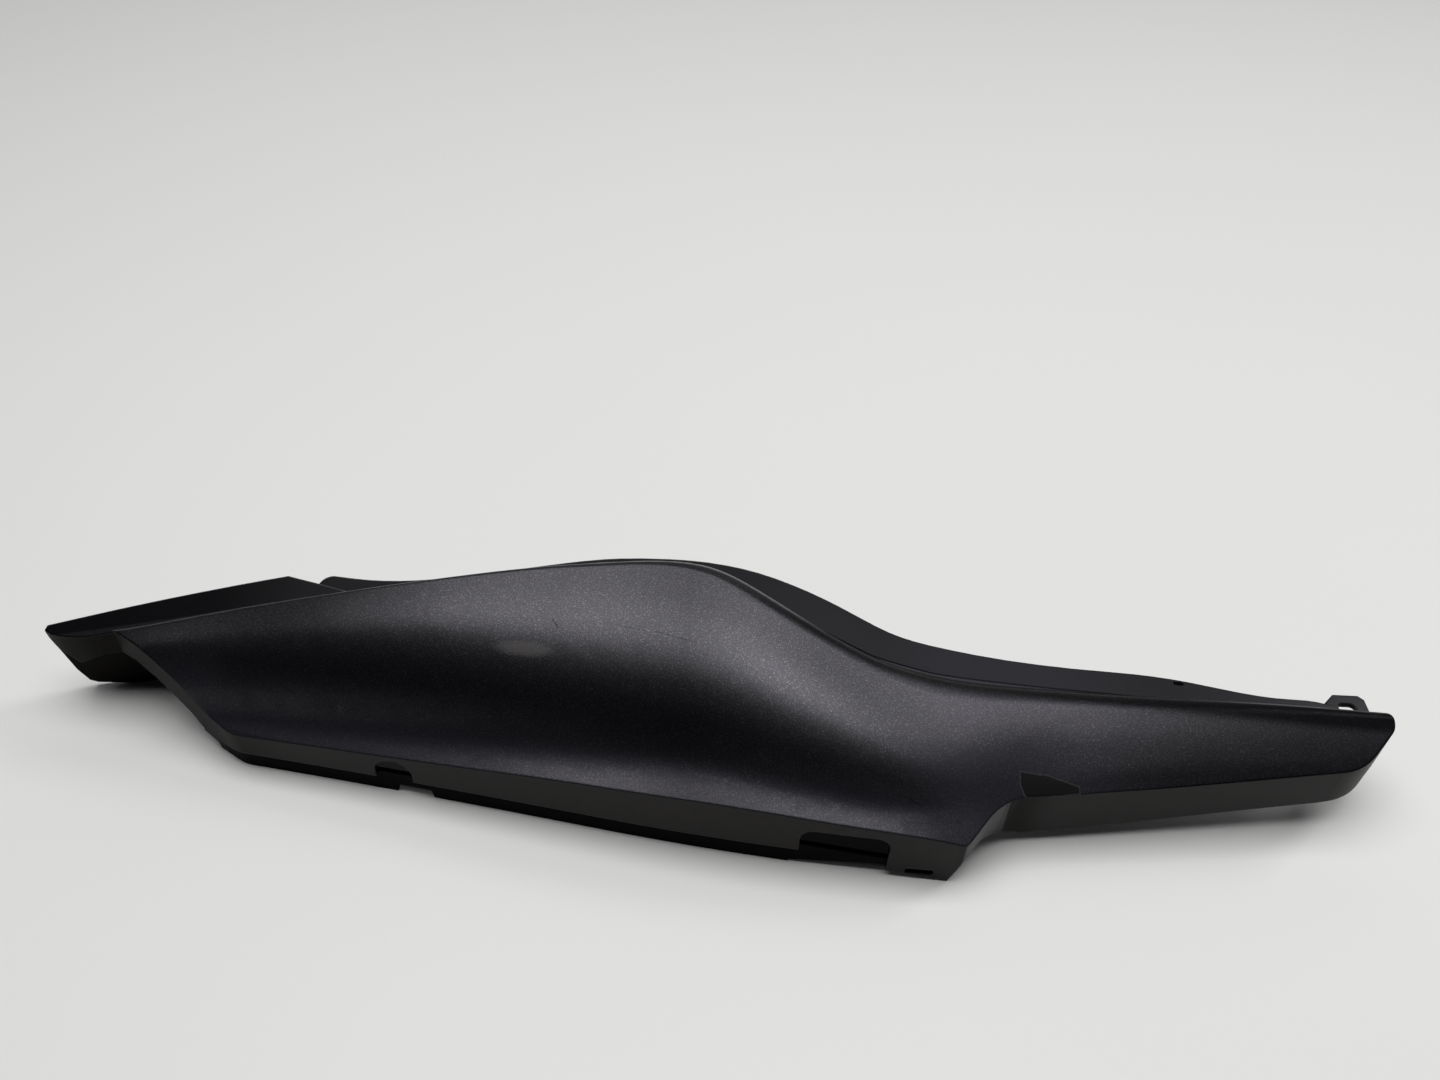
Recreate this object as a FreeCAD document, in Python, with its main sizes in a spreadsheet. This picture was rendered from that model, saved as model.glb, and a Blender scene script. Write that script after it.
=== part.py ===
import FreeCAD, Part
import math
import os

# Right-hand rear side fairing of a motorcycle, one injection moulding.
# It lies outside up, as it rests on a table: +X is the front of the bike,
# +Y is the seat side, +Z points out of the bike. All sizes are millimetres.

# Driving sizes: name, value, what it is
SIZES = [
    ("panel_length", 688.0, "tip of the tail arm to the nose"),
    ("panel_width", 128.0, "lower edge to seat flange, in plan"),
    ("crest_height", 96.0, "highest point of the skin above the rest plane"),
    ("wall", 2.6, "thickness of skin and walls"),
    ("nose_corner", 28.0, "radius of the nose towards the lower edge"),
    ("nose_seat_corner", 10.0, "radius of the nose towards the seat"),
    ("knee_radius", 35.0, "hollow radius where the lower edge steps up"),
    ("foot_corner", 5.0, "radius at the foot"),
    ("flange_drop", 7.0, "seat flange below the crest"),
    ("flange_skirt", 7.0, "depth of the turned-down edge of the flange"),
    ("flange_start", -207.0, "rear end of the seat flange, along X"),
    ("flange_end", 316.0, "front end of the seat flange, along X"),
    ("flange_end_corner", 6.0, "radius of the rear end of the flange"),
    ("ledge_drop", 1.0, "tail ledge below the crest"),
    ("ledge_end", -223.0, "corner of the tail ledge, along X"),
    ("ledge_run_in", -187.0, "where the ledge runs into the crest"),
    ("lip_setback", 1.8, "lower lip behind the wall"),
    ("lip_overlap", 3.0, "lower lip up behind the wall"),
    ("lip_start", -268.0, "rear end of the lower lip"),
    ("lip_finish", 87.0, "front end of the lower lip"),
    ("notch_place", -157.6, "clip notch in the lower wall, along X"),
    ("notch_width", 19.0, "clip notch"),
    ("notch_height", 15.0, "clip notch above the wall's edge"),
    ("window_place", 66.5, "long window in the lower wall, along X"),
    ("window_width", 43.0, "long window"),
    ("window_top", 30.5, "top of the long window"),
    ("window_corner", 7.0, "corner radius of the long window"),
    ("foot_slot_place", 104.0, "slot in the foot, along X"),
    ("foot_slot_height", 6.3, "slot in the foot, middle above the rest plane"),
    ("foot_slot_length", 14.0, "slot in the foot"),
    ("foot_slot_width", 4.6, "slot in the foot"),
    ("lug_place", 323.0, "middle of the front lug, along X"),
    ("lug_length", 21.0, "front lug along X"),
    ("lug_reach", 12.6, "front lug past the crest line"),
    ("lug_rear_corner", 5.5, "cut corner of the front lug, towards the tail"),
    ("lug_front_corner", 2.5, "cut corner of the front lug, towards the nose"),
    ("lug_slot_length", 9.0, "slot in the front lug"),
    ("lug_slot_width", 5.0, "slot in the front lug"),
    ("clip_slot_place", 239.0, "small slot in the flange, along X"),
    ("clip_slot_length", 5.0, "small slot in the flange"),
    ("clip_slot_width", 2.0, "small slot in the flange"),
    ("clip_slot_edge", 3.4, "small slot from the flange edge"),
    ("tab_place_rear", 55.0, "rear frame tab, along X"),
    ("tab_place_front", 190.0, "front frame tab, along X"),
    ("tab_width", 24.0, "frame tabs along X"),
    ("tab_foot", 20.0, "frame tab foot, across"),
    ("tab_thickness", 2.6, "frame tab plates"),
    ("tab_rib", 2.0, "side ribs of the frame tabs"),
    ("tab_hole", 6.5, "bolt hole in the frame tabs, diameter"),
    ("tab_collar", 13.0, "collar round the bolt hole, diameter"),
    ("tab_collar_height", 6.0, "collar, from the underside"),
    ("boss_diameter", 10.0, "screw bosses under the skin"),
    ("boss_hole", 4.4, "pilot hole in the bosses, diameter"),
    ("boss_hole_depth", 16.0, "pilot hole in the bosses"),
    ("boss_end", 22.0, "free end of the bosses above the rest plane"),
    ("gusset_thickness", 2.0, "ribs behind the lower wall"),
    ("gusset_reach", 14.0, "ribs, inwards from the wall"),
    ("gusset_edge", 22.0, "underside of the ribs above the rest plane"),
]

# Lines of the skin as drawn at the length, width and height below.
# The driving sizes stretch them.
DRAWN_LENGTH = 688.0
DRAWN_WIDTH = 128.0
DRAWN_CREST = 96.0

# Seat-side edge of the crest: along, across, height
CREST = [
    (-346, 23.0, 50.0), (-306, 24.5, 56.5), (-247, 32.5, 67.0), (-189, 37.0, 79.0),
    (-134, 42.5, 88.0), (-92, 48.0, 92.5), (-49, 52.0, 96.0), (-20, 54.5, 96.0),
    (5, 53.0, 93.5), (30, 42.5, 87.0), (55, 31.5, 79.0), (80, 23.0, 71.5),
    (111, 19.2, 65.0), (158, 18.0, 60.5), (200, 16.8, 58.5), (291, 12.8, 57.5),
    (350, 10.4, 56.0),
]
# Radius over which the skin rolls down at the crest: along, radius
ROLL = [
    (-346, 3.0), (-60, 3.3), (-20, 5.0), (13, 10.0), (45, 11.5), (80, 13.2), (115, 15.8), (160, 14.8),
    (200, 12.5), (240, 9.8), (291, 6.4), (350, 4.5),
]
# Lower end of the skin, carried on past the cut-outs: along, across, height
LOW = [
    (-346, -2.0, 24.0), (-238, -17.0, 26.5), (-145, -30.5, 31.5), (-52, -46.0, 38.5),
    (11, -55.0, 41.0), (60, -60.5, 38.5), (90, -62.0, 36.5), (120, -58.0, 35.0),
    (150, -46.0, 35.0), (180, -37.5, 38.5), (249, -28.1, 42.0), (290, -24.0, 44.3), (320, -20.0, 46.3),
    (350, -18.0, 47.5),
]
# Tail cut in plan, from past the crest round the tail corner, and its slope where it starts
TAIL_CUT = [(-340, 41.5), (-270.4, 1.4), (-245.0, -14.1), (-236.5, -17.2)]
TAIL_START_SLOPE = -0.56
# Lower edge in plan, from the tail corner to the foot
LOWER_EDGE = [(-236.5, -17.2), (-145, -30.8), (-52, -46.0), (60, -60.5), (123.5, -64.3)]
# Knee in plan, and the nose, which moves with the front end and keeps its own shape
KNEE = (142.8, -41.4)
NOSE = [(320.5, -20.6), (344.3, 4.3), (334.4, 13.4)]
# Far edge of the seat flange in plan
FLANGE_EDGE = [
    (-210, 58.0), (-201, 56.9), (-179, 50.0), (-137, 48.0), (-105, 52.0), (-66, 58.0),
    (-15, 60.4), (13, 60.2), (32, 58.7), (61, 52.2), (89, 41.5), (124, 36.1), (172, 32.0),
    (225, 29.9), (238, 28.4), (250, 25.2), (272, 21.5), (299, 18.2), (320, 15.4),
]
# Far edge of the tail ledge in plan, and the near wall of the tail arm
LEDGE_EDGE = [(-346, 30.7), (-334, 33.6), (-310, 39.2), (-249, 50.2), (-180, 56.5)]
ARM_NEAR = [(-346, 27.2), (-340, 23.6), (-331, 21.2), (-320, 20.4), (-306, 22.6), (-298, 24.0)]
# Lower edge of the walls in side view, from tail to nose: along, height
WALL_EDGE = [
    (-310, 40.5), (-297, 40.5), (-285, 35.0), (-275, 28.0), (-268, 22.0), (-263, 15.0), (-258, 12.5),
    (-246, 12.0), (44, 13.4), (89, 5.0), (118.5, 0.0), (124.5, 19.0), (132, 20.0), (142, 14.0), (156, 8.5),
    (172, 8.5), (206, 11.5), (269, 17.5), (305, 20.5), (326, 24.0), (350, 31.0),
]
# Lower edge of the lip in side view: along, height
LIP_EDGE = [
    (-268, 16.0), (-266, 7.5), (-257, 4.5), (-255.5, 0.0), (-158, 0.0), (-157, 5.7), (-140, 5.7), (-139, 0.0), (40, 0.0), (41, 1.5),
    (75, 6.0), (87, 7.0),
]
# End and arch of the tail arm's near wall, and of its far wall, in side view
ARM_NEAR_EDGE = [(-346, 47.0), (-341, 40.5), (-330, 31.5), (-322, 36.5), (-315, 40.0), (-305, 40.5), (-296, 40.5)]
ARM_FAR_EDGE = [(-347, 47.0), (-341, 16.0), (-337.5, 6.5), (-334, 4.0), (-318, 0.0), (-286, 0.0), (-262, 14.0), (-240, 44.0), (-222, 60.0)]
# Height of the skin across its width, over the body and over the nose
ACROSS = [0.0, 0.16, 0.30, 0.60, 1.0]
BODY_RISE = [0.0, 0.14, 0.42, 0.80, 1.0]
NOSE_RISE = [0.0, 0.21, 0.37, 0.68, 1.0]
SPAN_SHARES = [0.0, 0.225, 0.345, 0.475, 0.71, 1.0]
BODY_END_SLOPE = 14.0
NOSE_END_SLOPE = 20.0
BODY_ENDS = 60.0
NOSE_STARTS = 170.0
LOW_RUN_OUT = 0.30

BOSSES = [(-120.0, 6.0), (20.0, -14.0)]
GUSSETS = [-215.0, -120.0, -60.0, 10.0, 165.0, 225.0, 285.0]
STATIONS = 26
FIRST_STATION = -326.0
LAST_STATION = 349.0
DEEP = -20.0
HIGH = 130.0
WIDE = 90.0


def fill_sheet(doc):
    """Write the driving sizes into the sheet, one named cell each."""
    sheet = doc.addObject("Spreadsheet::Sheet", "Sizes")
    for row, (name, value, note) in enumerate(SIZES, start=1):
        sheet.set("A%d" % row, note)
        sheet.set("B%d" % row, str(value))
        sheet.setAlias("B%d" % row, name)
    doc.recompute()
    return sheet


doc = FreeCAD.newDocument("RearSideFairing")
sheet = fill_sheet(doc)
stretch_x = sheet.panel_length / DRAWN_LENGTH
stretch_y = sheet.panel_width / DRAWN_WIDTH
stretch_z = sheet.crest_height / DRAWN_CREST
wall = sheet.wall


def in_plan(points):
    """Plan points at the panel's own length and width."""
    return [(x * stretch_x, y * stretch_y) for x, y in points]


def nose_plan():
    """Plan points of the nose, moved with the front end of the panel."""
    tip_x, tip_y = NOSE[1]
    move_x = tip_x * (stretch_x - 1.0)
    move_y = tip_y * (stretch_y - 1.0)
    return [(x + move_x, y + move_y) for x, y in NOSE]


def in_space(points):
    """Line points at the panel's own length, width and height."""
    return [(x * stretch_x, y * stretch_y, z * stretch_z) for x, y, z in points]


def in_side(points):
    """Side-view points at the panel's own length and height."""
    return [(x * stretch_x, z * stretch_z) for x, z in points]


crest = in_space(CREST)
low = in_space(LOW)
roll = [(x * stretch_x, radius) for x, radius in ROLL]
wall_edge = in_side(WALL_EDGE)
lip_edge = in_side(LIP_EDGE)
flange_edge = in_plan(FLANGE_EDGE)
ledge_edge = in_plan(LEDGE_EDGE)
arm_near = in_plan(ARM_NEAR)


def along(line, x, column):
    """Value of one column of a line at x, on smooth cubic pieces."""
    last = len(line) - 1
    if x <= line[0][0]:
        return line[0][column]
    if x >= line[last][0]:
        return line[last][column]

    def rise(i):
        return (line[i + 1][column] - line[i][column]) / (line[i + 1][0] - line[i][0])

    def slope(i):
        if i == 0:
            return rise(0)
        if i == last:
            return rise(last - 1)
        before = line[i][0] - line[i - 1][0]
        after = line[i + 1][0] - line[i][0]
        return (rise(i - 1) * after + rise(i) * before) / (before + after)

    i = max(k for k in range(last) if line[k][0] <= x)
    step = line[i + 1][0] - line[i][0]
    t = (x - line[i][0]) / step
    start = line[i][column] * (2 * t**3 - 3 * t**2 + 1) + slope(i) * step * (t**3 - 2 * t**2 + t)
    end = line[i + 1][column] * (3 * t**2 - 2 * t**3) + slope(i + 1) * step * (t**3 - t**2)
    return start + end


def share_of_body(x):
    """One over the body, nought over the nose, smooth between."""
    t = (x / stretch_x - BODY_ENDS) / (NOSE_STARTS - BODY_ENDS)
    t = min(1.0, max(0.0, t))
    return 1.0 - (3.0 * t**2 - 2.0 * t**3)


def edge_between(start, end):
    return Part.LineSegment(start, end).toShape()


def crest_parts(x):
    """Edge and height of the crest at x, its roll radius, and the slope of the skin there."""
    radius = along(roll, x, 1)
    edge = along(crest, x, 1)
    top = along(crest, x, 2)
    body = share_of_body(x)
    slope = math.radians(BODY_END_SLOPE * body + NOSE_END_SLOPE * (1.0 - body))
    return edge, top, radius, slope


def skin_points(x):
    """Points across the outer skin at x, from past the lower edge to the roll."""
    edge, top, radius, slope = crest_parts(x)
    end_y = edge - radius * (1.0 + math.sin(slope))
    end_z = top - radius * (1.0 - math.cos(slope))
    low_y = along(low, x, 1)
    low_z = along(low, x, 2)
    body = share_of_body(x)
    points = []
    for share, body_rise, nose_rise in zip(ACROSS, BODY_RISE, NOSE_RISE):
        rise = body_rise * body + nose_rise * (1.0 - body)
        points.append((low_y + share * (end_y - low_y), low_z + rise * (end_z - low_z)))
    run = LOW_RUN_OUT * (end_y - low_y)
    first = (points[1][1] - points[0][1]) / (points[1][0] - points[0][0])
    points.insert(0, (low_y - run, low_z - 0.9 * first * run))
    return points


def skin_curve(x, inset):
    """Curve across the skin at x, moved inwards by inset."""
    slope = crest_parts(x)[3]
    points = [FreeCAD.Vector(x, y, z) for y, z in skin_points(x)]
    finish = FreeCAD.Vector(0, math.cos(slope), math.sin(slope))
    begin = (points[1] - points[0]).normalize()
    outer = Part.BSplineCurve()
    outer.interpolate(Points=points, Parameters=SPAN_SHARES, InitialTangent=begin * 100, FinalTangent=finish * 100)
    if inset == 0:
        return outer
    moved = []
    for share, point in zip(SPAN_SHARES, points):
        tangent = outer.tangent(share)[0]
        inward = FreeCAD.Vector(0, tangent.z, -tangent.y)
        moved.append(point + inward * inset)
    moved[-1] = roll_arc(x, inset, DEEP).StartPoint
    inner = Part.BSplineCurve()
    inner.interpolate(Points=moved, Parameters=SPAN_SHARES, InitialTangent=begin * 100, FinalTangent=finish * 100)
    return inner


def roll_arc(x, inset, lowest):
    """Arc over the crest at x, from the skin round to upright or to the lowest height."""
    edge, top, radius, slope = crest_parts(x)
    size = max(radius - inset, 0.3)
    centre = FreeCAD.Vector(x, edge - inset - size, top - inset - size)
    begin = -slope
    finish = math.acos(min(1.0, max(0.0, (lowest - centre.z) / size)))
    corners = []
    for turn in (begin, (begin + finish) / 2.0, finish):
        corners.append(centre + FreeCAD.Vector(0, size * math.sin(turn), size * math.cos(turn)))
    return Part.Arc(*corners)


def body_section(x, inset, opens_under_flange):
    """Closed section of the body at x, under the skin moved in by inset."""
    skin = skin_curve(x, inset)
    under = along(crest, x, 2) - sheet.flange_drop - 0.6 * wall
    lowest = under + 0.4 if opens_under_flange else DEEP
    arc = roll_arc(x, inset, lowest)
    edges = [skin.toShape(), arc.toShape()]
    corner = arc.EndPoint
    path = [corner]
    if opens_under_flange:
        path += [FreeCAD.Vector(x, corner.y, under), FreeCAD.Vector(x, WIDE, under)]
    path.append(FreeCAD.Vector(x, path[-1].y, DEEP))
    path.append(FreeCAD.Vector(x, skin.StartPoint.y, DEEP))
    path.append(skin.StartPoint)
    for start, end in zip(path, path[1:]):
        edges.append(edge_between(start, end))
    return Part.Wire(edges)


def stations(first, last, count):
    step = (last - first) / (count - 1)
    return [(first + i * step) * stretch_x for i in range(count)]


def body_loft(inset, opens_under_flange):
    sections = [body_section(x, inset, opens_under_flange) for x in stations(FIRST_STATION, LAST_STATION, STATIONS)]
    return Part.makeLoft(sections, True, False)


def smooth_arcs(points, slope):
    """Arcs through plan points, each running on from the one before; slope is that at the start."""
    edges = []
    turn = math.atan(slope)
    for start, end in zip(points, points[1:]):
        length = math.hypot(end[0] - start[0], end[1] - start[1])
        chord = math.atan2(end[1] - start[1], end[0] - start[0])
        bend = chord - turn
        bulge = -0.5 * length * math.tan(bend / 2.0)
        middle_x = (start[0] + end[0]) / 2.0 - bulge * math.sin(chord)
        middle_y = (start[1] + end[1]) / 2.0 + bulge * math.cos(chord)
        ways = [(start[0], start[1]), (middle_x, middle_y), (end[0], end[1])]
        edges.append(Part.Arc(*[FreeCAD.Vector(x, y, DEEP) for x, y in ways]).toShape())
        turn = chord + bend
    return edges


def outline_wire():
    """Plan outline of the walls with sharp corners, closed past the seat side."""
    lower = in_plan(LOWER_EDGE)
    tail = in_plan(TAIL_CUT)
    knee = in_plan([KNEE])[0]
    nose = nose_plan()
    corners = [lower[-1], knee] + nose + [(nose[-1][0], WIDE), (tail[0][0], WIDE), tail[0]]
    corners = [FreeCAD.Vector(x, y, DEEP) for x, y in corners]
    edges = smooth_arcs(tail + lower[1:], TAIL_START_SLOPE * stretch_y / stretch_x)
    for start, end in zip(corners, corners[1:]):
        edges.append(edge_between(start, end))
    return Part.Wire(edges)


def round_corner(solid, place, radius):
    """Round the upright edge of a prism that stands at a plan point."""
    for edge in solid.Edges:
        ends = [v.Point for v in edge.Vertexes]
        if len(ends) != 2 or abs(ends[0].z - ends[1].z) < 1.0:
            continue
        if math.hypot(ends[0].x - place[0], ends[0].y - place[1]) < 0.01:
            return solid.makeFillet(radius, [edge])
    raise ValueError("no corner at %s" % (place,))


def outline_prism():
    """Prism of the wall outline, its corners rounded."""
    prism = Part.Face(outline_wire()).extrude(FreeCAD.Vector(0, 0, HIGH - DEEP))
    nose = nose_plan()
    corners = [
        (in_plan(LOWER_EDGE)[-1], sheet.foot_corner),
        (in_plan([KNEE])[0], sheet.knee_radius),
        (nose[0], sheet.nose_corner),
        (nose[1], sheet.nose_seat_corner),
    ]
    for place, radius in corners:
        prism = round_corner(prism, place, radius)
    return prism


def inset_prism(prism, inset):
    """The same prism with every side moved inwards."""
    bottom = [f for f in prism.Faces if abs(f.BoundBox.ZMax - DEEP) < 0.01][0]
    smaller = bottom.makeOffset2D(-inset, 0)
    return smaller.extrude(FreeCAD.Vector(0, 0, HIGH - DEEP))


def ring_section(x, corners):
    """Closed straight-sided section at x through (across, height) corners."""
    points = [FreeCAD.Vector(x, y, z) for y, z in corners]
    return Part.Wire(Part.makePolygon(points + points[:1]).Edges)


def strip_loft(first, last, count, corners_at):
    """Solid along the panel whose section has the corners that corners_at gives."""
    sections = [ring_section(x, corners_at(x)) for x in stations(first, last, count)]
    return Part.makeLoft(sections, True, False)


def side_prism(points, near, far):
    """Prism across the panel of a side-view outline."""
    corners = [FreeCAD.Vector(x, near, z) for x, z in points]
    face = Part.Face(Part.Wire(Part.makePolygon(corners + corners[:1]).Edges))
    return face.extrude(FreeCAD.Vector(0, far - near, 0))


def plan_prism(points):
    """Upright prism of a plan outline."""
    corners = [FreeCAD.Vector(x, y, DEEP) for x, y in points]
    face = Part.Face(Part.Wire(Part.makePolygon(corners + corners[:1]).Edges))
    return face.extrude(FreeCAD.Vector(0, 0, HIGH - DEEP))


def height_on(line, x):
    """Height of a side-view outline at x, straight between its points."""
    for start, end in zip(line, line[1:]):
        if start[0] <= x <= end[0]:
            return start[1] + (end[1] - start[1]) * (x - start[0]) / (end[0] - start[0])
    return line[-1][1]


def lower_y(x):
    """Plan line of the outside of the lower wall at x."""
    knee = in_plan([KNEE])[0]
    lower = in_plan(LOWER_EDGE) + [knee] + nose_plan()[:1]
    return height_on(lower, x)


def flange_top(x):
    return along(crest, x, 2) - sheet.flange_drop


def flange_root(x):
    """Where the seat flange starts, inside the wall of the crest roll."""
    edge, top, radius, slope = crest_parts(x)
    above = max(0.0, radius - sheet.flange_drop)
    return edge - radius + math.sqrt(radius**2 - above**2) - 0.4 * wall


def flange_corners(x):
    """Section of the seat flange: a plate with its far edge turned down."""
    near = flange_root(x)
    far = along(flange_edge, x, 1)
    top = flange_top(x)
    skirt = 0.85 * wall
    foot = top - sheet.flange_skirt
    return [(near, top), (far, top), (far, foot), (far - skirt, foot), (far - skirt, top - wall), (near, top - wall)]


def under_flange_corners(x):
    """Everything below the middle of the seat flange."""
    top = flange_top(x) - 0.5 * wall
    return [(-WIDE, top), (WIDE, top), (WIDE, DEEP), (-WIDE, DEEP)]


def ledge_top(x):
    return along(crest, x, 2) - sheet.ledge_drop


def ledge_corners(x):
    """Section of the tail ledge behind the crest, with its deep far wall."""
    near = along(crest, x, 1) - 0.85 * wall
    return plate_and_wall(x, near)


def arm_corners(x):
    """Section of the tail arm's ledge, from its own near wall."""
    return plate_and_wall(x, along(arm_near, x, 1))


def plate_and_wall(x, near):
    far = along(ledge_edge, x, 1)
    top = ledge_top(x)
    inside = far - wall
    return [(near, top), (far, top), (far, DEEP), (inside, DEEP), (inside, top - wall), (near, top - wall)]


def arm_wall_corners(x):
    """Section of the tail arm's near wall."""
    near = along(arm_near, x, 1)
    top = ledge_top(x) - 0.4 * wall
    return [(near, top), (near + wall, top), (near + wall, DEEP), (near, DEEP)]


def free_form(name, shape):
    """A document object that holds a lofted or swept form."""
    piece = doc.addObject("Part::Feature", name)
    piece.Shape = shape
    return piece


def cut(name, base, tool):
    piece = doc.addObject("Part::Cut", name)
    piece.Base = base
    piece.Tool = tool
    return piece


def fuse(name, pieces):
    piece = doc.addObject("Part::MultiFuse", name)
    piece.Shapes = pieces
    return piece


def common(name, pieces):
    piece = doc.addObject("Part::MultiCommon", name)
    piece.Shapes = pieces
    return piece


def bind(piece, **expressions):
    """Bind sizes of a document object to the sheet."""
    for size, words in expressions.items():
        piece.setExpression(size, words)


def box(name, length, width, height, base):
    """Block whose sizes follow the sheet, with its low corner at base."""
    piece = doc.addObject("Part::Box", name)
    bind(piece, Length=length, Width=width, Height=height)
    piece.Placement.Base = FreeCAD.Vector(*base)
    return piece


def rod(name, radius, height, base, across=False):
    """Round bar whose sizes follow the sheet, upright or across the panel."""
    piece = doc.addObject("Part::Cylinder", name)
    bind(piece, Radius=radius, Height=height)
    turn = FreeCAD.Rotation(FreeCAD.Vector(1, 0, 0), -90 if across else 0)
    piece.Placement = FreeCAD.Placement(FreeCAD.Vector(*base), turn)
    return piece


def oblong(name, length, width, depth, middle, across=False):
    """Round-ended bar along X: a block between two round bars."""
    reach = (getattr(sheet, length) - getattr(sheet, width)) / 2.0
    half = getattr(sheet, width) / 2.0
    straight = "Sizes.%s - Sizes.%s" % (length, width)
    wide = "Sizes.%s" % width
    x, y, z = middle
    if across:
        block = box(name + "_middle", straight, str(depth), wide, (x - reach, y, z - half))
    else:
        block = box(name + "_middle", straight, wide, str(depth), (x - reach, y - half, z))
    ends = []
    for side in (-1, 1):
        end = rod("%s_end_%d" % (name, side + 2), wide + " / 2", str(depth), (x + side * reach, y, z), across)
        ends.append(end)
    return fuse(name, [block] + ends)


def make_shell():
    """Skin and outer walls at an even thickness, open underneath."""
    prism = outline_prism()
    outer = common("outer_body", [free_form("skin_outside", body_loft(0, False)), free_form("outline", prism)])
    inner_outline = free_form("outline_inside", inset_prism(prism, wall))
    hollow = common("hollow", [free_form("skin_inside", body_loft(wall, True)), inner_outline])
    whole = cut("shell_whole", outer, hollow)
    below = [(wall_edge[0][0] - 40, wall_edge[0][1])] + wall_edge
    below += [(wall_edge[-1][0], DEEP - 5), (wall_edge[0][0] - 40, DEEP - 5)]
    shell = cut("shell", whole, free_form("below_walls", side_prism(below, -WIDE - 20, WIDE + 20)))
    middle = free_form("inside_middle", body_loft(wall / 2.0, False).common(inset_prism(prism, wall / 2.0)))
    return prism, shell, middle


def make_lip(prism):
    """Thin lip that carries the lower wall down behind its edge."""
    ring = inset_prism(prism, sheet.lip_setback).cut(inset_prism(prism, sheet.lip_setback + wall))
    start = sheet.lip_start * stretch_x
    finish = sheet.lip_finish * stretch_x
    low_line = [(start, height_on(lip_edge, start))]
    low_line += [point for point in lip_edge if start < point[0] < finish] + [(finish + 8, lip_edge[-1][1])]
    top_line = [(start, height_on(wall_edge, start) + sheet.lip_overlap)]
    top_line += [(x, z + sheet.lip_overlap) for x, z in wall_edge if start < x < finish]
    top_line += [(finish + 8, lip_edge[-1][1] + 5)]
    side = side_prism(low_line + top_line[::-1], -WIDE, 0)
    return free_form("lower_lip", ring.common(side))


def make_flange():
    """Seat flange behind the crest, its rear end rounded in plan."""
    loft = strip_loft(sheet.flange_start, sheet.flange_end, 22, flange_corners)
    start = sheet.flange_start * stretch_x
    for edge in loft.Edges:
        ends = [v.Point for v in edge.Vertexes]
        upright = len(ends) == 2 and abs(ends[0].z - ends[1].z) > 0.9 * sheet.flange_skirt
        if upright and all(abs(p.x - start) < 0.01 for p in ends):
            if abs(ends[0].y - along(flange_edge, start, 1)) < 0.01:
                loft = loft.makeFillet(sheet.flange_end_corner, [edge])
                break
    return free_form("seat_flange", loft)


def make_arm():
    """Tail arm: a channel with a ledge on top, a short near wall and a deep far wall."""
    ledge = strip_loft(-304.0, -180.0, 8, ledge_corners)
    tip = strip_loft(-346.0, -300.0, 7, arm_corners)
    near_wall = strip_loft(-346.0, -298.0, 7, arm_wall_corners)
    start = (sheet.ledge_end * stretch_x, along(ledge_edge, sheet.ledge_end * stretch_x, 1))
    end = (sheet.ledge_run_in * stretch_x, along(crest, sheet.ledge_run_in * stretch_x, 1))
    beyond = (2 * end[0] - start[0], 2 * end[1] - start[1])
    past_ledge = plan_prism([start, end, beyond, (beyond[0], WIDE + 5), (start[0], WIDE + 5)])
    far_edge = in_side(ARM_FAR_EDGE)
    far_below = far_edge + [(far_edge[-1][0] + 60, far_edge[-1][1]), (far_edge[-1][0] + 60, DEEP - 5)]
    far_below += [(far_edge[0][0] - 20, DEEP - 5), (far_edge[0][0] - 20, far_edge[0][1])]
    near_edge = in_side(ARM_NEAR_EDGE)
    near_below = near_edge + [(near_edge[-1][0] + 20, near_edge[-1][1]), (near_edge[-1][0] + 20, DEEP - 5)]
    near_below += [(near_edge[0][0] - 20, DEEP - 5), (near_edge[0][0] - 20, near_edge[0][1])]
    back = ledge.fuse(tip).cut(past_ledge).cut(side_prism(far_below, -WIDE, WIDE))
    front = near_wall.cut(side_prism(near_below, -WIDE, WIDE))
    return free_form("tail_arm", back.fuse(front))


def make_lug():
    """Front lug: a slotted plate that stands out past the crest."""
    x = sheet.lug_place * stretch_x
    crest_y = along(crest, x, 1)
    top = flange_top(x)
    base = (x - sheet.lug_length / 2.0, crest_y - 2 * wall, top - wall)
    plate = box("lug_plate", "Sizes.lug_length", "Sizes.lug_reach + 2 * Sizes.wall", "Sizes.wall", base)
    doc.recompute()
    far = base[1] + sheet.lug_reach + 2 * wall
    lug = doc.addObject("Part::Chamfer", "front_lug")
    lug.Base = plate
    corners = []
    for number, edge in enumerate(plate.Shape.Edges, start=1):
        start, end = [v.Point for v in edge.Vertexes]
        if abs(start.y - far) < 0.01 and abs(start.z - end.z) > 0.5 * wall:
            size = sheet.lug_rear_corner if start.x < x else sheet.lug_front_corner
            corners.append((number, size, size))
    lug.Edges = corners
    slot = oblong("lug_slot", "lug_slot_length", "lug_slot_width", 4 * wall, (x, crest_y + 4.4, top - 2 * wall))
    return lug, slot


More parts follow.
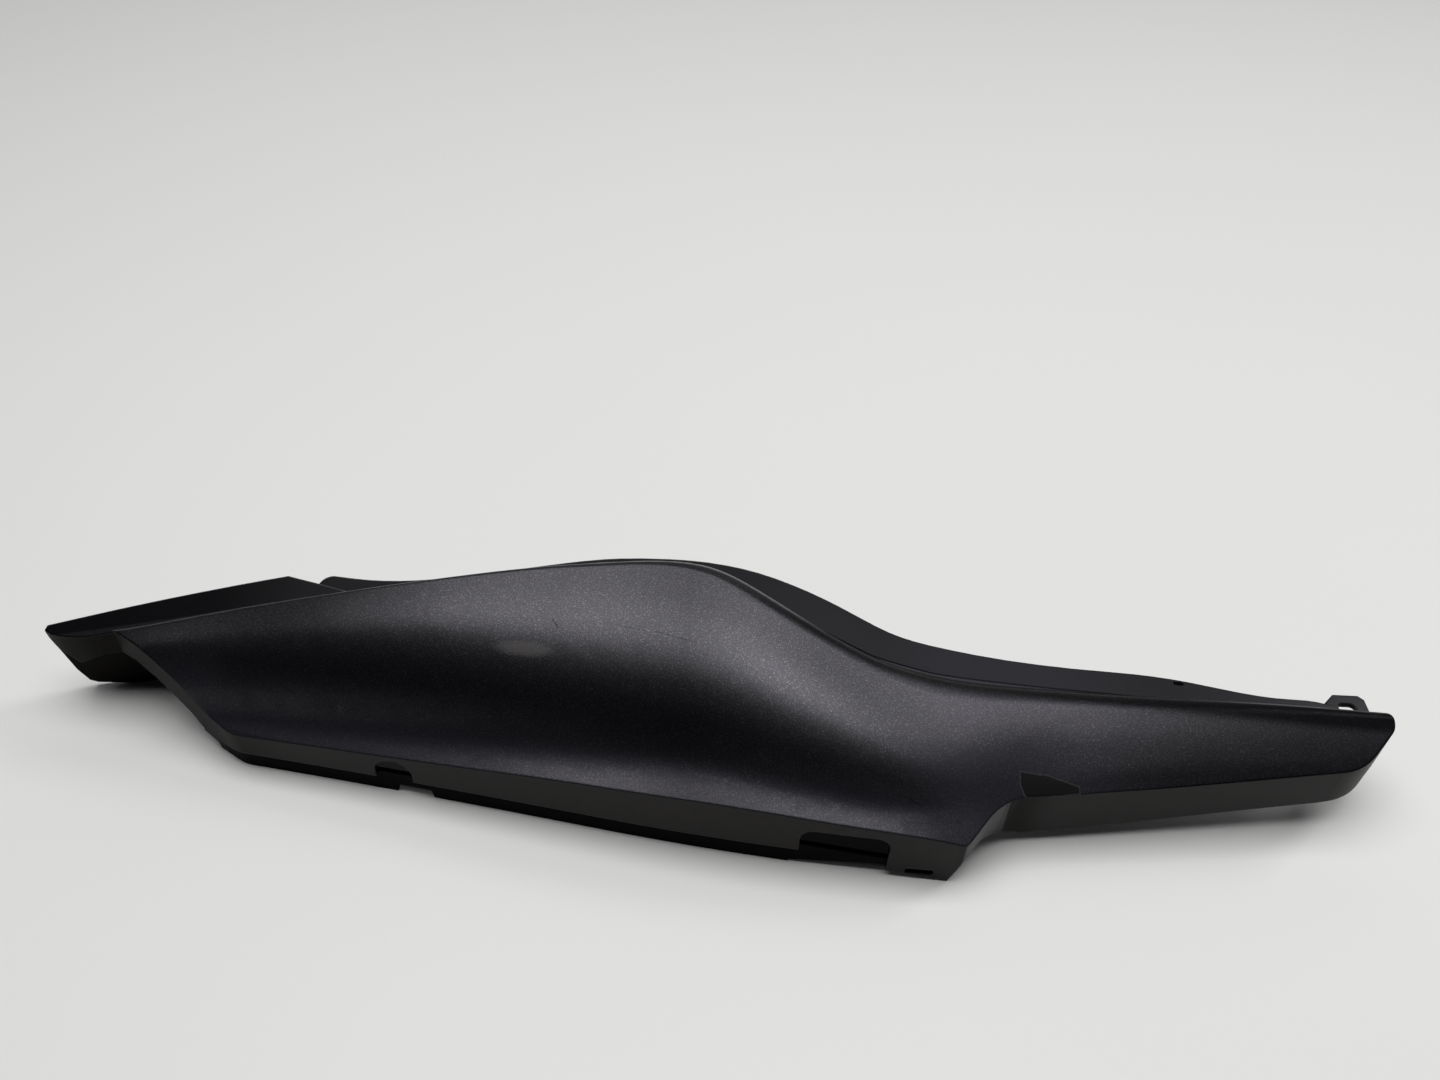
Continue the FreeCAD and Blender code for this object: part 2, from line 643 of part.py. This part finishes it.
def make_tab(name, place):
    """Frame tab: a channel down from the flange to a foot with a bolt hole."""
    x = place * stretch_x
    half = sheet.tab_width / 2.0
    far = min(along(flange_edge, x - half, 1), along(flange_edge, x + half, 1)) - 0.5
    near = far - sheet.tab_foot
    tall = str(HIGH)
    back = box(name + "_back", "Sizes.tab_width", "Sizes.tab_thickness", tall, (x - half, far - sheet.tab_thickness, 0))
    foot = box(name + "_foot", "Sizes.tab_width", "Sizes.tab_foot", "Sizes.tab_thickness", (x - half, near, 0))
    ribs = []
    for side in (0, 1):
        rib_x = x - half + side * (sheet.tab_width - sheet.tab_rib)
        size = (rib_x, far - 0.45 * sheet.tab_foot, 0)
        ribs.append(box("%s_rib_%d" % (name, side + 1), "Sizes.tab_rib", "0.45 * Sizes.tab_foot", tall, size))
    hole_y = near + sheet.tab_collar / 2.0
    collar = rod(name + "_collar", "Sizes.tab_collar / 2", "Sizes.tab_collar_height", (x, hole_y, 0))
    hole = rod(name + "_hole", "Sizes.tab_hole / 2", "Sizes.tab_collar_height + 4", (x, hole_y, -2))
    return [back, foot, collar] + ribs, hole


def make_gussets():
    """Ribs that hold the lower wall square to the skin."""
    ribs = []
    for number, place in enumerate(GUSSETS, start=1):
        x = place * stretch_x
        base = (x - sheet.gusset_thickness / 2.0, lower_y(x), sheet.gusset_edge * stretch_z)
        ribs.append(box("gusset_%d" % number, "Sizes.gusset_thickness", "Sizes.gusset_reach", str(HIGH), base))
    return ribs


def make_bosses():
    """Screw bosses under the skin and their pilot holes."""
    posts = []
    holes = []
    for number, (place, across) in enumerate(BOSSES, start=1):
        base = (place * stretch_x, across * stretch_y, sheet.boss_end * stretch_z)
        posts.append(rod("boss_%d" % number, "Sizes.boss_diameter / 2", str(HIGH), base))
        holes.append(rod("boss_hole_%d" % number, "Sizes.boss_hole / 2", "Sizes.boss_hole_depth", base))
    return posts, holes


def make_wall_openings():
    """Clip notch, long window and foot slot of the lower wall."""
    notch_x = sheet.notch_place * stretch_x
    edge = height_on(wall_edge, notch_x)
    radius = sheet.notch_width / 2.0
    deep = "12 * Sizes.wall"
    y = lower_y(notch_x) - 4 * wall
    floor = edge - 0.5
    straight = "Sizes.notch_height - Sizes.notch_width / 2 + 0.5"
    block = box("notch_block", "Sizes.notch_width", deep, straight, (notch_x - radius, y, floor))
    round_top = rod("notch_round", "Sizes.notch_width / 2", deep, (notch_x, y, edge + sheet.notch_height - radius), True)
    window_x = sheet.window_place * stretch_x
    y = lower_y(window_x) - 4 * wall
    base = (window_x - sheet.window_width / 2.0, y, DEEP)
    pane = box("window_block", "Sizes.window_width", deep, "Sizes.window_top - %g" % DEEP, base)
    doc.recompute()
    window = doc.addObject("Part::Fillet", "window")
    window.Base = pane
    corners = []
    for number, rim in enumerate(pane.Shape.Edges, start=1):
        if all(abs(v.Z - sheet.window_top) < 0.01 for v in rim.Vertexes) and abs(rim.tangentAt(0).y) > 0.9:
            corners.append((number, sheet.window_corner, sheet.window_corner))
    window.Edges = corners
    slot_x = sheet.foot_slot_place * stretch_x
    middle = (slot_x, lower_y(slot_x) - 4 * wall, sheet.foot_slot_height)
    slot = oblong("foot_slot", "foot_slot_length", "foot_slot_width", 8 * wall, middle, True)
    return [block, round_top, window, slot]


def make_panel():
    """The whole moulding: shell, arm, flange, lip and the forms inside, less its holes."""
    prism, shell, middle = make_shell()
    open_shell = cut("shell_with_openings", shell, fuse("wall_openings", make_wall_openings()))
    posts, pilot_holes = make_bosses()
    inside = common("inside_forms", [fuse("ribs_and_bosses", make_gussets() + posts), middle])
    rear_tab, rear_hole = make_tab("rear_tab", sheet.tab_place_rear)
    front_tab, front_hole = make_tab("front_tab", sheet.tab_place_front)
    under = free_form("under_flange", strip_loft(FIRST_STATION, LAST_STATION, 22, under_flange_corners))
    tabs = common("frame_tabs", [fuse("tab_plates", rear_tab + front_tab), under])
    lug, lug_slot = make_lug()
    clip_x = sheet.clip_slot_place * stretch_x
    clip_y = along(flange_edge, clip_x, 1) - sheet.clip_slot_edge
    base = (clip_x - sheet.clip_slot_length / 2.0, clip_y, flange_top(clip_x) - 2 * wall)
    clip_slot = box("clip_slot", "Sizes.clip_slot_length", "Sizes.clip_slot_width", "4 * Sizes.wall", base)
    blank = fuse("panel_blank", [open_shell, make_lip(prism), make_flange(), make_arm(), lug, tabs, inside])
    holes = fuse("holes", pilot_holes + [rear_hole, front_hole, lug_slot, clip_slot])
    return cut("rear_side_fairing", blank, holes)


panel = make_panel()
doc.recompute()

# The frame's origin is under the middle of the panel, on the rest plane
reach = panel.Shape.optimalBoundingBox(False, False)
panel.Placement.Base = FreeCAD.Vector(round(-reach.Center.x, 3), round(-reach.Center.y, 3), -reach.ZMin)
doc.recompute()

for piece in doc.Objects:
    if "Invalid" in piece.State or "Error" in piece.State:
        raise RuntimeError("%s did not build: %s" % (piece.Label, piece.State))

os.makedirs("parts", exist_ok=True)
panel.Label = "rear_side_fairing"
if panel.Shape.isNull() or not panel.Shape.isValid():
    raise RuntimeError("%s has no sound shape" % panel.Label)
panel.Shape.exportStep("parts/%s.step" % panel.Label)
print(panel.Label, len(panel.Shape.Solids), "solid", round(panel.Shape.Volume), "mm3")
print("reach", round(reach.XLength, 2), round(reach.YLength, 2), round(reach.ZLength, 2))
print("moved by", [round(value, 3) for value in panel.Placement.Base])
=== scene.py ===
import math
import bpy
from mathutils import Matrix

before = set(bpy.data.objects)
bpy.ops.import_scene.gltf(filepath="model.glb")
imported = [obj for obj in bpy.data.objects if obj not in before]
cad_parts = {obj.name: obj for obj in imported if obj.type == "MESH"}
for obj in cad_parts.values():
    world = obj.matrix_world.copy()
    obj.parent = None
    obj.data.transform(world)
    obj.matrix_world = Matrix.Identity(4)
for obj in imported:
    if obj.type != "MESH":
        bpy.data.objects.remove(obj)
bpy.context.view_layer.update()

from types import SimpleNamespace

import bpy
from mathutils import Matrix, Vector

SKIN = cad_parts["rear_side_fairing"]

# All lengths are metres in the row's frame: +X is the front of the bike,
# +Y the seat side, +Z points out of the bike.

# Camera above the near side, looking down and along +Y, a little rolled
EYE = Vector((0.0030, -0.3781, 0.520))
DOWN = 43.35
ROLL = 2.71
LENS_MM = 30.0
SENSOR_MM = 36.0

# Lamps: name, place, aim, width, depth, radiance
LAMPS = [
    ("overhead", (-0.08, 0.14, 2.2), (-0.08, 0.04, 0.0), 2.3, 1.45, 4.3),
    ("side", (1.9, 1.0, 1.7), (0.0, 0.0, 0.0), 0.7, 0.7, 9.0),
    ("backdrop", (0.0, 2.6, 1.6), (0.0, 0.0, 0.9), 5.0, 2.4, 0.40),
]
ROOM_DARK = (0.006, 0.006, 0.007, 1.0)
ROOM_PALE = (0.80, 0.80, 0.79, 1.0)
FLOOR_HALF = 6.0

# Seat-side edge of the crest in plan
CREST_LINE = [
    (-0.3430, 0.0249), (-0.2440, 0.0344), (-0.1860, 0.0389), (-0.1310, 0.0444),
    (-0.0890, 0.0499), (-0.0460, 0.0539), (-0.0170, 0.0564), (0.0080, 0.0549),
    (0.0330, 0.0444), (0.0580, 0.0334), (0.0830, 0.0249), (0.1140, 0.0211),
    (0.1610, 0.0199), (0.2030, 0.0187), (0.2940, 0.0147), (0.3430, 0.0127),
]
# Outside of the lower wall in plan
WALL_LINE = [
    (-0.2500, -0.0073), (-0.2400, -0.0134), (-0.2320, -0.0156), (-0.1420, -0.0289), (-0.0490, -0.0441),
    (0.0070, -0.0525), (0.0630, -0.0588), (0.0930, -0.0609), (0.1230, -0.0623),
]
# Lower edge of the lower wall in side view
WALL_FOOT = [
    (-0.262, 0.0140), (-0.255, 0.0122), (-0.243, 0.0118),
    (0.047, 0.0133), (0.092, 0.0048), (0.122, 0.0),
]
# Share of the paint's sheen along the panel
SHEEN = [
    (-0.343, 0.95), (-0.150, 1.00), (-0.060, 1.10), (-0.010, 0.88), (0.040, 1.45), (0.090, 1.45),
    (0.140, 1.20), (0.190, 1.10), (0.245, 0.72), (0.295, 0.58), (0.343, 0.50),
]

# Corners of the chipped patch in plan, anticlockwise
CHIP = [
    (0.1530, -0.0338), (0.1555, -0.0386), (0.1827, -0.0350), (0.1823, -0.0323),
    (0.1737, -0.0304), (0.1672, -0.0290), (0.1531, -0.0287),
]
# Scratches in plan: start, end, half width
SCRATCHES = [
    ((-0.0769, 0.0197), (-0.0740, 0.0162), 0.00050),
    ((-0.0290, 0.0151), (-0.0063, 0.0102), 0.00028),
    ((-0.0452, 0.0171), (-0.0264, 0.0138), 0.00022),
    ((0.0964, -0.0454), (0.1052, -0.0484), 0.00028),
    ((0.1218, -0.0526), (0.1227, -0.0533), 0.00060),
]
# Painted highlight in plan, a pale soft reflection on the skin: middle, direction, half length and half
# width
SMUDGE = ((-0.0900, 0.0073), (0.9940, -0.1096), 0.0180, 0.0040)

# Radius of the softened edges, and of the joint line beside them
EDGE_RADIUS = 0.0013
JOINT_RADIUS = 0.0024
# Depth of the paint's grain and of the chipped patch
GRAIN_DEPTH = 0.00007
CHIP_DEPTH = 0.00008


def grey(level, warm=0.0):
    return (level * (1.0 + warm), level, level * (1.0 - warm), 1.0)


def violet_grey(level):
    """Faintly violet grey of the paint."""
    return (level * 1.02, level * 0.94, level * 1.30, 1.0)


class Nodes:
    """Short calls for building one material's node tree."""

    def __init__(self, name):
        self.material = bpy.data.materials.new(name)
        self.material.use_nodes = True
        self.tree = self.material.node_tree
        self.tree.nodes.clear()
        self.output = self.tree.nodes.new("ShaderNodeOutputMaterial")

    def feed(self, socket, value):
        """Link a socket, or set a plain value."""
        if isinstance(value, bpy.types.NodeSocket):
            self.tree.links.new(value, socket)
        else:
            socket.default_value = value

    def math(self, operation, *values):
        node = self.tree.nodes.new("ShaderNodeMath")
        node.operation = operation
        for socket, value in zip(node.inputs, values):
            self.feed(socket, value)
        return node.outputs[0]

    def plus(self, a, b):
        return self.math("ADD", a, b)

    def minus(self, a, b):
        return self.math("SUBTRACT", a, b)

    def size(self, a):
        return self.math("ABSOLUTE", a)

    def larger(self, a, b):
        return self.math("MAXIMUM", a, b)

    def times(self, first, *others):
        for other in others:
            first = self.math("MULTIPLY", first, other)
        return first

    def weighted(self, a, share_a, b, share_b):
        return self.plus(self.times(a, share_a), self.times(b, share_b))

    def dot(self, a, b):
        node = self.tree.nodes.new("ShaderNodeVectorMath")
        node.operation = "DOT_PRODUCT"
        self.feed(node.inputs[0], a)
        self.feed(node.inputs[1], b)
        return node.outputs["Value"]

    def place(self):
        return self.tree.nodes.new("ShaderNodeTexCoord").outputs["Object"]

    def split(self, value):
        node = self.tree.nodes.new("ShaderNodeSeparateXYZ")
        self.feed(node.inputs[0], value)
        return node.outputs

    def true_normal(self):
        return self.tree.nodes.new("ShaderNodeNewGeometry").outputs["True Normal"]

    def bevel(self, radius):
        """Normal of the surface with its edges rounded by radius."""
        node = self.tree.nodes.new("ShaderNodeBevel")
        node.samples = 8
        node.inputs["Radius"].default_value = radius
        return node.outputs[0]

    def noise(self, place, scale, detail, rough):
        node = self.tree.nodes.new("ShaderNodeTexNoise")
        self.feed(node.inputs["Vector"], place)
        node.inputs["Scale"].default_value = scale
        node.inputs["Detail"].default_value = detail
        node.inputs["Roughness"].default_value = rough
        return node.outputs["Fac"]

    def remap(self, value, low, high, start, end):
        """Value mapped straight from low..high to start..end."""
        node = self.tree.nodes.new("ShaderNodeMapRange")
        for socket, number in zip(node.inputs, (value, low, high, start, end)):
            self.feed(socket, number)
        return node.outputs[0]

    def rise(self, value, low, high):
        """Nought up to low, one from high, smooth between."""
        result = self.remap(value, low, high, 0.0, 1.0)
        result.node.interpolation_type = "SMOOTHSTEP"
        return result

    def fall(self, value, low, high):
        """One up to low, nought from high, smooth between."""
        result = self.remap(value, low, high, 1.0, 0.0)
        result.node.interpolation_type = "SMOOTHSTEP"
        return result

    def line(self, value, points):
        """Height of a broken line at value; the points run upwards in value."""
        first, last = points[0][0], points[-1][0]
        lowest = min(point[1] for point in points)
        highest = max(point[1] for point in points)
        node = self.tree.nodes.new("ShaderNodeFloatCurve")
        self.feed(node.inputs["Value"], self.remap(value, first, last, 0.0, 1.0))
        curve = node.mapping.curves[0]
        spots = [((u - first) / (last - first), (v - lowest) / (highest - lowest)) for u, v in points]
        curve.points[0].location = spots[0]
        curve.points[-1].location = spots[-1]
        for spot in spots[1:-1]:
            curve.points.new(*spot)
        for point in curve.points:
            point.handle_type = "VECTOR"
        node.mapping.update()
        return self.remap(node.outputs[0], 0.0, 1.0, lowest, highest)

    def mix(self, share, a, b):
        """Colour a where share is nought, b where it is one."""
        node = self.tree.nodes.new("ShaderNodeMix")
        node.data_type = "RGBA"
        for socket, value in zip((node.inputs["Factor"], node.inputs[6], node.inputs[7]), (share, a, b)):
            self.feed(socket, value)
        return node.outputs[2]

    def blend(self, share, a, b):
        """Number a where share is nought, b where it is one."""
        node = self.tree.nodes.new("ShaderNodeMix")
        node.data_type = "FLOAT"
        for socket, value in zip((node.inputs["Factor"], node.inputs[2], node.inputs[3]), (share, a, b)):
            self.feed(socket, value)
        return node.outputs[0]

    def bump(self, height, strength, distance, normal=None):
        node = self.tree.nodes.new("ShaderNodeBump")
        self.feed(node.inputs["Height"], height)
        self.feed(node.inputs["Strength"], strength)
        self.feed(node.inputs["Distance"], distance)
        if normal is not None:
            self.feed(node.inputs["Normal"], normal)
        return node.outputs[0]

    def surface(self, **values):
        node = self.tree.nodes.new("ShaderNodeBsdfPrincipled")
        for name, value in values.items():
            self.feed(node.inputs[name.replace("_", " ")], value)
        self.tree.links.new(node.outputs[0], self.output.inputs["Surface"])
        return self.material


def scratch_mask(n, x, y, start, end, width, wander):
    """One along the line from start to end, falling off across its width."""
    length = math.hypot(end[0] - start[0], end[1] - start[1])
    ux, uy = (end[0] - start[0]) / length, (end[1] - start[1]) / length
    rx, ry = n.minus(x, start[0]), n.minus(y, start[1])
    run = n.weighted(rx, ux, ry, uy)
    off = n.size(n.plus(n.weighted(ry, ux, rx, -uy), wander))
    past = n.minus(n.size(n.minus(run, length / 2.0)), length / 2.0)
    return n.fall(n.larger(off, past), width * 0.3, width)


def oval_mask(n, x, y, middle, way, long, wide):
    """One at the middle of an oval in plan, falling to nought at its rim."""
    rx, ry = n.minus(x, middle[0]), n.minus(y, middle[1])
    run = n.weighted(rx, way[0] / long, ry, way[1] / long)
    off = n.weighted(ry, way[0] / wide, rx, -way[1] / wide)
    return n.fall(n.weighted(run, run, off, off), 0.0, 1.0)


def depth_in_chip(n, x, y):
    """How far a plan point lies inside the chipped patch."""
    inside = None
    for (ax, ay), (bx, by) in zip(CHIP, CHIP[1:] + CHIP[:1]):
        length = math.hypot(bx - ax, by - ay)
        depth = n.weighted(n.minus(x, ax), (ay - by) / length, n.minus(y, ay), (bx - ax) / length)
        inside = depth if inside is None else n.math("MINIMUM", inside, depth)
    return inside


def add_textures(n, m):
    """Cloudy, fine and coarse grain, and a small wander for ragged edges."""
    place = n.place()
    m.x, m.y, m.z = n.split(place)
    m.cloud = n.noise(place, 26.0, 3.0, 0.6)
    m.grain = n.noise(place, 1500.0, 2.0, 0.7)
    m.coarse = n.noise(place, 430.0, 3.0, 0.65)
    m.ragged = n.times(n.minus(n.noise(place, 620.0, 3.0, 0.6), 0.5), 0.0010)


def add_sides(n, m):
    """Which way the surface faces: painted skin, bare walls, near side."""
    m.normal = n.true_normal()
    m.facing = n.split(m.normal)
    upward = n.rise(m.facing[2], 0.25, 0.40)
    m.walls = n.minus(1.0, upward)
    m.painted = n.times(upward, n.rise(m.z, 0.014, 0.018))
    m.skin = n.times(m.painted, n.fall(m.facing[1], -0.02, 0.10))
    m.past_wall = n.minus(m.y, n.line(m.x, WALL_LINE))
    m.past_crest = n.minus(m.y, n.line(m.x, CREST_LINE))


def add_lip(n, m):
    """Painted shade on the lip below the lower wall, and on what shows through the openings."""
    behind = n.times(n.rise(m.past_wall, 0.0003, 0.0009), n.fall(m.past_wall, 0.055, 0.070),
                     n.fall(m.z, 0.034, 0.040))
    below = n.fall(n.minus(m.z, n.line(m.x, WALL_FOOT)), -0.0002, 0.0003)
    outside = n.times(n.larger(behind, below), m.walls)
    # Painted shade inside the shell, on what shows through the openings
    inside = n.times(behind, n.fall(m.z, 0.025, 0.029))
    m.lip = n.times(n.larger(outside, inside), n.fall(m.x, 0.121, 0.122), n.rise(m.x, -0.250, -0.246))


def add_edges(n, m):
    """Dark joint line at the skin's lower edge, painted highlights along the edges of wall and crest."""
    m.bevel = n.bevel(EDGE_RADIUS)
    turned = n.split(m.bevel)
    joint = n.bevel(JOINT_RADIUS)
    leaning = n.split(joint)
    downward = n.fall(n.minus(leaning[2], m.facing[2]), -0.03, 0.0)
    m.groove = n.times(n.fall(n.dot(joint, m.normal), 0.955, 0.990), m.skin,
                       n.fall(leaning[1], -0.30, -0.12), downward)
    near_side = n.times(n.fall(m.facing[1], -0.2, 0.1), n.rise(m.z, 0.018, 0.022))
    # Painted highlight: a light line along the top edge of the near wall
    m.edge = n.times(n.rise(turned[2], 0.12, 0.40), m.walls, near_side)
    # Painted highlight: a light line along the crest's edge
    m.ridge = n.times(n.rise(turned[1], 0.22, 0.50), n.rise(turned[2], 0.45, 0.70), n.fall(m.x, 0.03, 0.06))


def add_zones(n, m):
    """Regions of the panel with their own sheen, and regions of painted light: the toe, the knee and the
    foot's end face.
    """
    m.tail = n.fall(m.x, -0.26, -0.20)
    m.seat_side = n.times(n.rise(m.past_crest, -0.0012, 0.0004), n.rise(m.x, -0.345, -0.343))
    m.under_roll = n.times(n.rise(m.past_crest, -0.017, -0.011), n.fall(m.past_crest, -0.0040, -0.0022),
                           n.rise(m.x, -0.01, 0.05))
    m.flange_root = n.times(n.fall(n.size(n.plus(m.past_crest, 0.0006)), 0.0003, 0.0008),
                            n.rise(m.x, -0.01, 0.02), n.fall(m.x, 0.22, 0.27))
    # Painted light: the toe beside the lower wall and the knee are made lighter in colour, standing in for
    # light on the flaring skin
    toe = n.times(n.fall(m.past_wall, 0.004, 0.026), n.fall(m.x, 0.11, 0.13))
    knee = n.times(n.rise(m.x, 0.08, 0.13), n.fall(m.x, 0.16, 0.24))
    m.dusty = n.times(n.larger(toe, knee), m.skin)
    m.bright_toe = n.times(toe, n.rise(m.x, -0.06, 0.0))
    m.arm_root = n.times(n.rise(m.x, 0.122, 0.128), n.fall(m.x, 0.15, 0.175))
    # Painted light: the foot's end face, turned towards the side lamp, gets a light grey colour standing in
    # for the light on it
    m.foot_end = n.times(n.rise(m.facing[0], 0.35, 0.55), m.walls, n.rise(m.z, 0.0, 0.03),
                         n.rise(m.x, 0.112, 0.116), n.fall(m.x, 0.15, 0.17))


def add_marks(n, m):
    """Chipped patch with its rim and scratches in the paint, and a pale oval of painted highlight."""
    depth = n.plus(depth_in_chip(n, m.x, m.y), m.ragged)
    m.chip = n.times(n.rise(depth, -0.0001, 0.0001), m.painted)
    m.chip_rim = n.times(n.fall(n.size(depth), 0.00010, 0.00035), m.painted)
    wander = n.times(m.ragged, 0.6)
    scratches = 0.0
    for start, end, width in SCRATCHES:
        scratches = n.larger(scratches, scratch_mask(n, m.x, m.y, start, end, width, wander))
    m.scratches = n.times(scratches, n.rise(m.coarse, 0.35, 0.55), m.painted)
    m.smudge = n.times(oval_mask(n, m.x, m.y, *SMUDGE), m.painted)


def fairing_colour(n, m):
    flecked = n.mix(m.flecks, violet_grey(0.0009), violet_grey(0.0046))
    paint = n.mix(n.times(n.rise(m.cloud, 0.3, 0.7), 0.4), flecked, violet_grey(0.0024))
    # Painted light on the toe and knee: a lighter paint colour where the skin flares up
    paint = n.mix(n.times(m.dusty, 0.6), paint, violet_grey(0.018))
    # Painted highlight along the crest's edge, laid into the paint colour
    paint = n.mix(n.times(m.ridge, 0.8), paint, grey(0.090))
    bare = n.mix(n.rise(m.coarse, 0.3, 0.7), grey(0.0030, 0.16), grey(0.0058, 0.16))
    colour = n.mix(m.painted, bare, paint)
    layers = [
        # Painted light on the foot's end face
        (m.foot_end, 0.8, grey(0.16)),
        # Painted shade: the lip under the wall and the surfaces seen through the openings are made near
        # black
        (m.lip, 1.0, grey(0.0010, -0.1)),
        # Painted highlight along the wall's top edge
        (m.edge, 1.0, grey(0.020, -0.1)),
        (m.chip, 1.0, grey(0.0022)),
        (m.chip_rim, 0.55, grey(0.06)),
        (m.scratches, 0.6, grey(0.0012)),
        # Painted highlight: a pale soft reflection laid into the colour
        (m.smudge, 0.5, grey(0.085, 0.06)),
    ]
    for mask, share, tone in layers:
        colour = n.mix(n.times(mask, share), colour, tone)
    return colour


def fairing_shine(n, m):
    """Strength of the reflections."""
    shine = n.times(n.plus(0.43, n.times(m.flecks, 0.68)), n.line(m.x, SHEEN))
    shine = n.times(shine, n.blend(m.under_roll, 1.0, 0.20), n.blend(m.bright_toe, 1.0, 0.52))
    shine = n.blend(m.seat_side, shine, n.blend(m.tail, 0.36, 0.12))
    shine = n.blend(m.painted, n.blend(n.larger(m.tail, m.arm_root), 0.16, 0.05), shine)
    layers = [
        (m.lip, 0.02),
        (m.chip, 0.22),
        (n.larger(m.groove, m.flange_root), 0.02),
        (m.edge, 0.40),
        (m.ridge, 1.0),
        (m.scratches, 0.22),
    ]
    for mask, level in layers:
        shine = n.blend(mask, shine, level)
    return shine


def fairing_roughness(n, m):
    rough = n.plus(n.blend(m.painted, 0.46, 0.35), n.times(n.minus(m.coarse, 0.5), 0.10))
    return n.blend(m.chip, rough, 0.50)


def fairing_relief(n, m):
    """Normal with the paint's grain and the sunk chipped patch."""
    grained = n.bump(n.weighted(m.grain, 0.65, m.coarse, 0.35), 0.42, GRAIN_DEPTH, m.bevel)
    return n.bump(n.times(m.chip, -1.0), 0.6, CHIP_DEPTH, grained)


def fairing_material():
    n = Nodes("graphite_paint")
    m = SimpleNamespace()
    for step in (add_textures, add_sides, add_lip, add_edges, add_zones, add_marks):
        step(n, m)
    m.flecks = n.rise(m.grain, 0.50, 0.74)
    return n.surface(
        Base_Color=fairing_colour(n, m),
        Roughness=fairing_roughness(n, m),
        Normal=fairing_relief(n, m),
        Specular_IOR_Level=fairing_shine(n, m),
        Specular_Tint=n.mix(m.painted, (1.0, 0.93, 0.93, 1.0), (0.99, 0.96, 1.06, 1.0)),
    )


def floor_material():
    n = Nodes("pale_floor")
    place = n.place()
    x, y, _ = n.split(place)
    past_wall = n.minus(y, n.line(x, WALL_LINE))
    # Painted shadow: the floor under the panel is darkened to near black
    under_panel = n.times(n.rise(past_wall, 0.003, 0.007), n.fall(past_wall, 0.030, 0.050),
                          n.rise(x, -0.22, -0.20), n.fall(x, 0.10, 0.115))
    colour = n.mix(n.noise(place, 2.5, 3.0, 0.5), (0.80, 0.80, 0.79, 1.0), (0.82, 0.82, 0.81, 1.0))
    colour = n.mix(under_panel, colour, (0.10, 0.10, 0.10, 1.0))
    grain = n.noise(place, 900.0, 2.0, 0.5)
    return n.surface(Base_Color=colour, Roughness=0.55, Normal=n.bump(grain, 0.05, 0.0001))


def add_camera():
    data = bpy.data.cameras.new("camera")
    data.lens = LENS_MM
    data.sensor_width = SENSOR_MM
    data.clip_start = 0.01
    camera = bpy.data.objects.new("camera", data)
    pitch = Matrix.Rotation(math.radians(90.0 - DOWN), 4, "X")
    camera.matrix_world = Matrix.Translation(EYE) @ pitch @ Matrix.Rotation(math.radians(ROLL), 4, "Z")
    bpy.context.scene.collection.objects.link(camera)
    bpy.context.scene.camera = camera


def add_floor():
    corners = [(x * FLOOR_HALF, y * FLOOR_HALF, 0) for x, y in ((-1, -1), (1, -1), (1, 1), (-1, 1))]
    mesh = bpy.data.meshes.new("floor")
    mesh.from_pydata(corners, [], [(0, 1, 2, 3)])
    floor = bpy.data.objects.new("floor", mesh)
    floor.data.materials.append(floor_material())
    bpy.context.scene.collection.objects.link(floor)


def add_lamp(name, place, aim, width, depth, radiance):
    """Rectangular soft lamp of an even radiance."""
    data = bpy.data.lights.new(name, "AREA")
    data.shape = "RECTANGLE"
    data.size = width
    data.size_y = depth
    data.energy = radiance * math.pi * width * depth
    lamp = bpy.data.objects.new(name, data)
    way = (Vector(aim) - Vector(place)).normalized()
    lamp.matrix_world = Matrix.Translation(Vector(place)) @ way.to_track_quat("-Z", "Y").to_matrix().to_4x4()
    bpy.context.scene.collection.objects.link(lamp)


def add_world():
    """Dark room for the reflections, pale backdrop for the camera."""
    world = bpy.data.worlds.new("room")
    world.use_nodes = True
    tree = world.node_tree
    tree.nodes.clear()
    output = tree.nodes.new("ShaderNodeOutputWorld")
    choose = tree.nodes.new("ShaderNodeMixShader")
    path = tree.nodes.new("ShaderNodeLightPath")
    tree.links.new(path.outputs["Is Camera Ray"], choose.inputs[0])
    for socket, tone in zip((choose.inputs[1], choose.inputs[2]), (ROOM_DARK, ROOM_PALE)):
        background = tree.nodes.new("ShaderNodeBackground")
        background.inputs["Color"].default_value = tone
        tree.links.new(background.outputs[0], socket)
    tree.links.new(choose.outputs[0], output.inputs["Surface"])
    bpy.context.scene.world = world


add_camera()
add_floor()
add_world()
for lamp in LAMPS:
    add_lamp(*lamp)

SKIN.data.materials.clear()
SKIN.data.materials.append(fairing_material())

bpy.context.scene.view_settings.view_transform = "Standard"
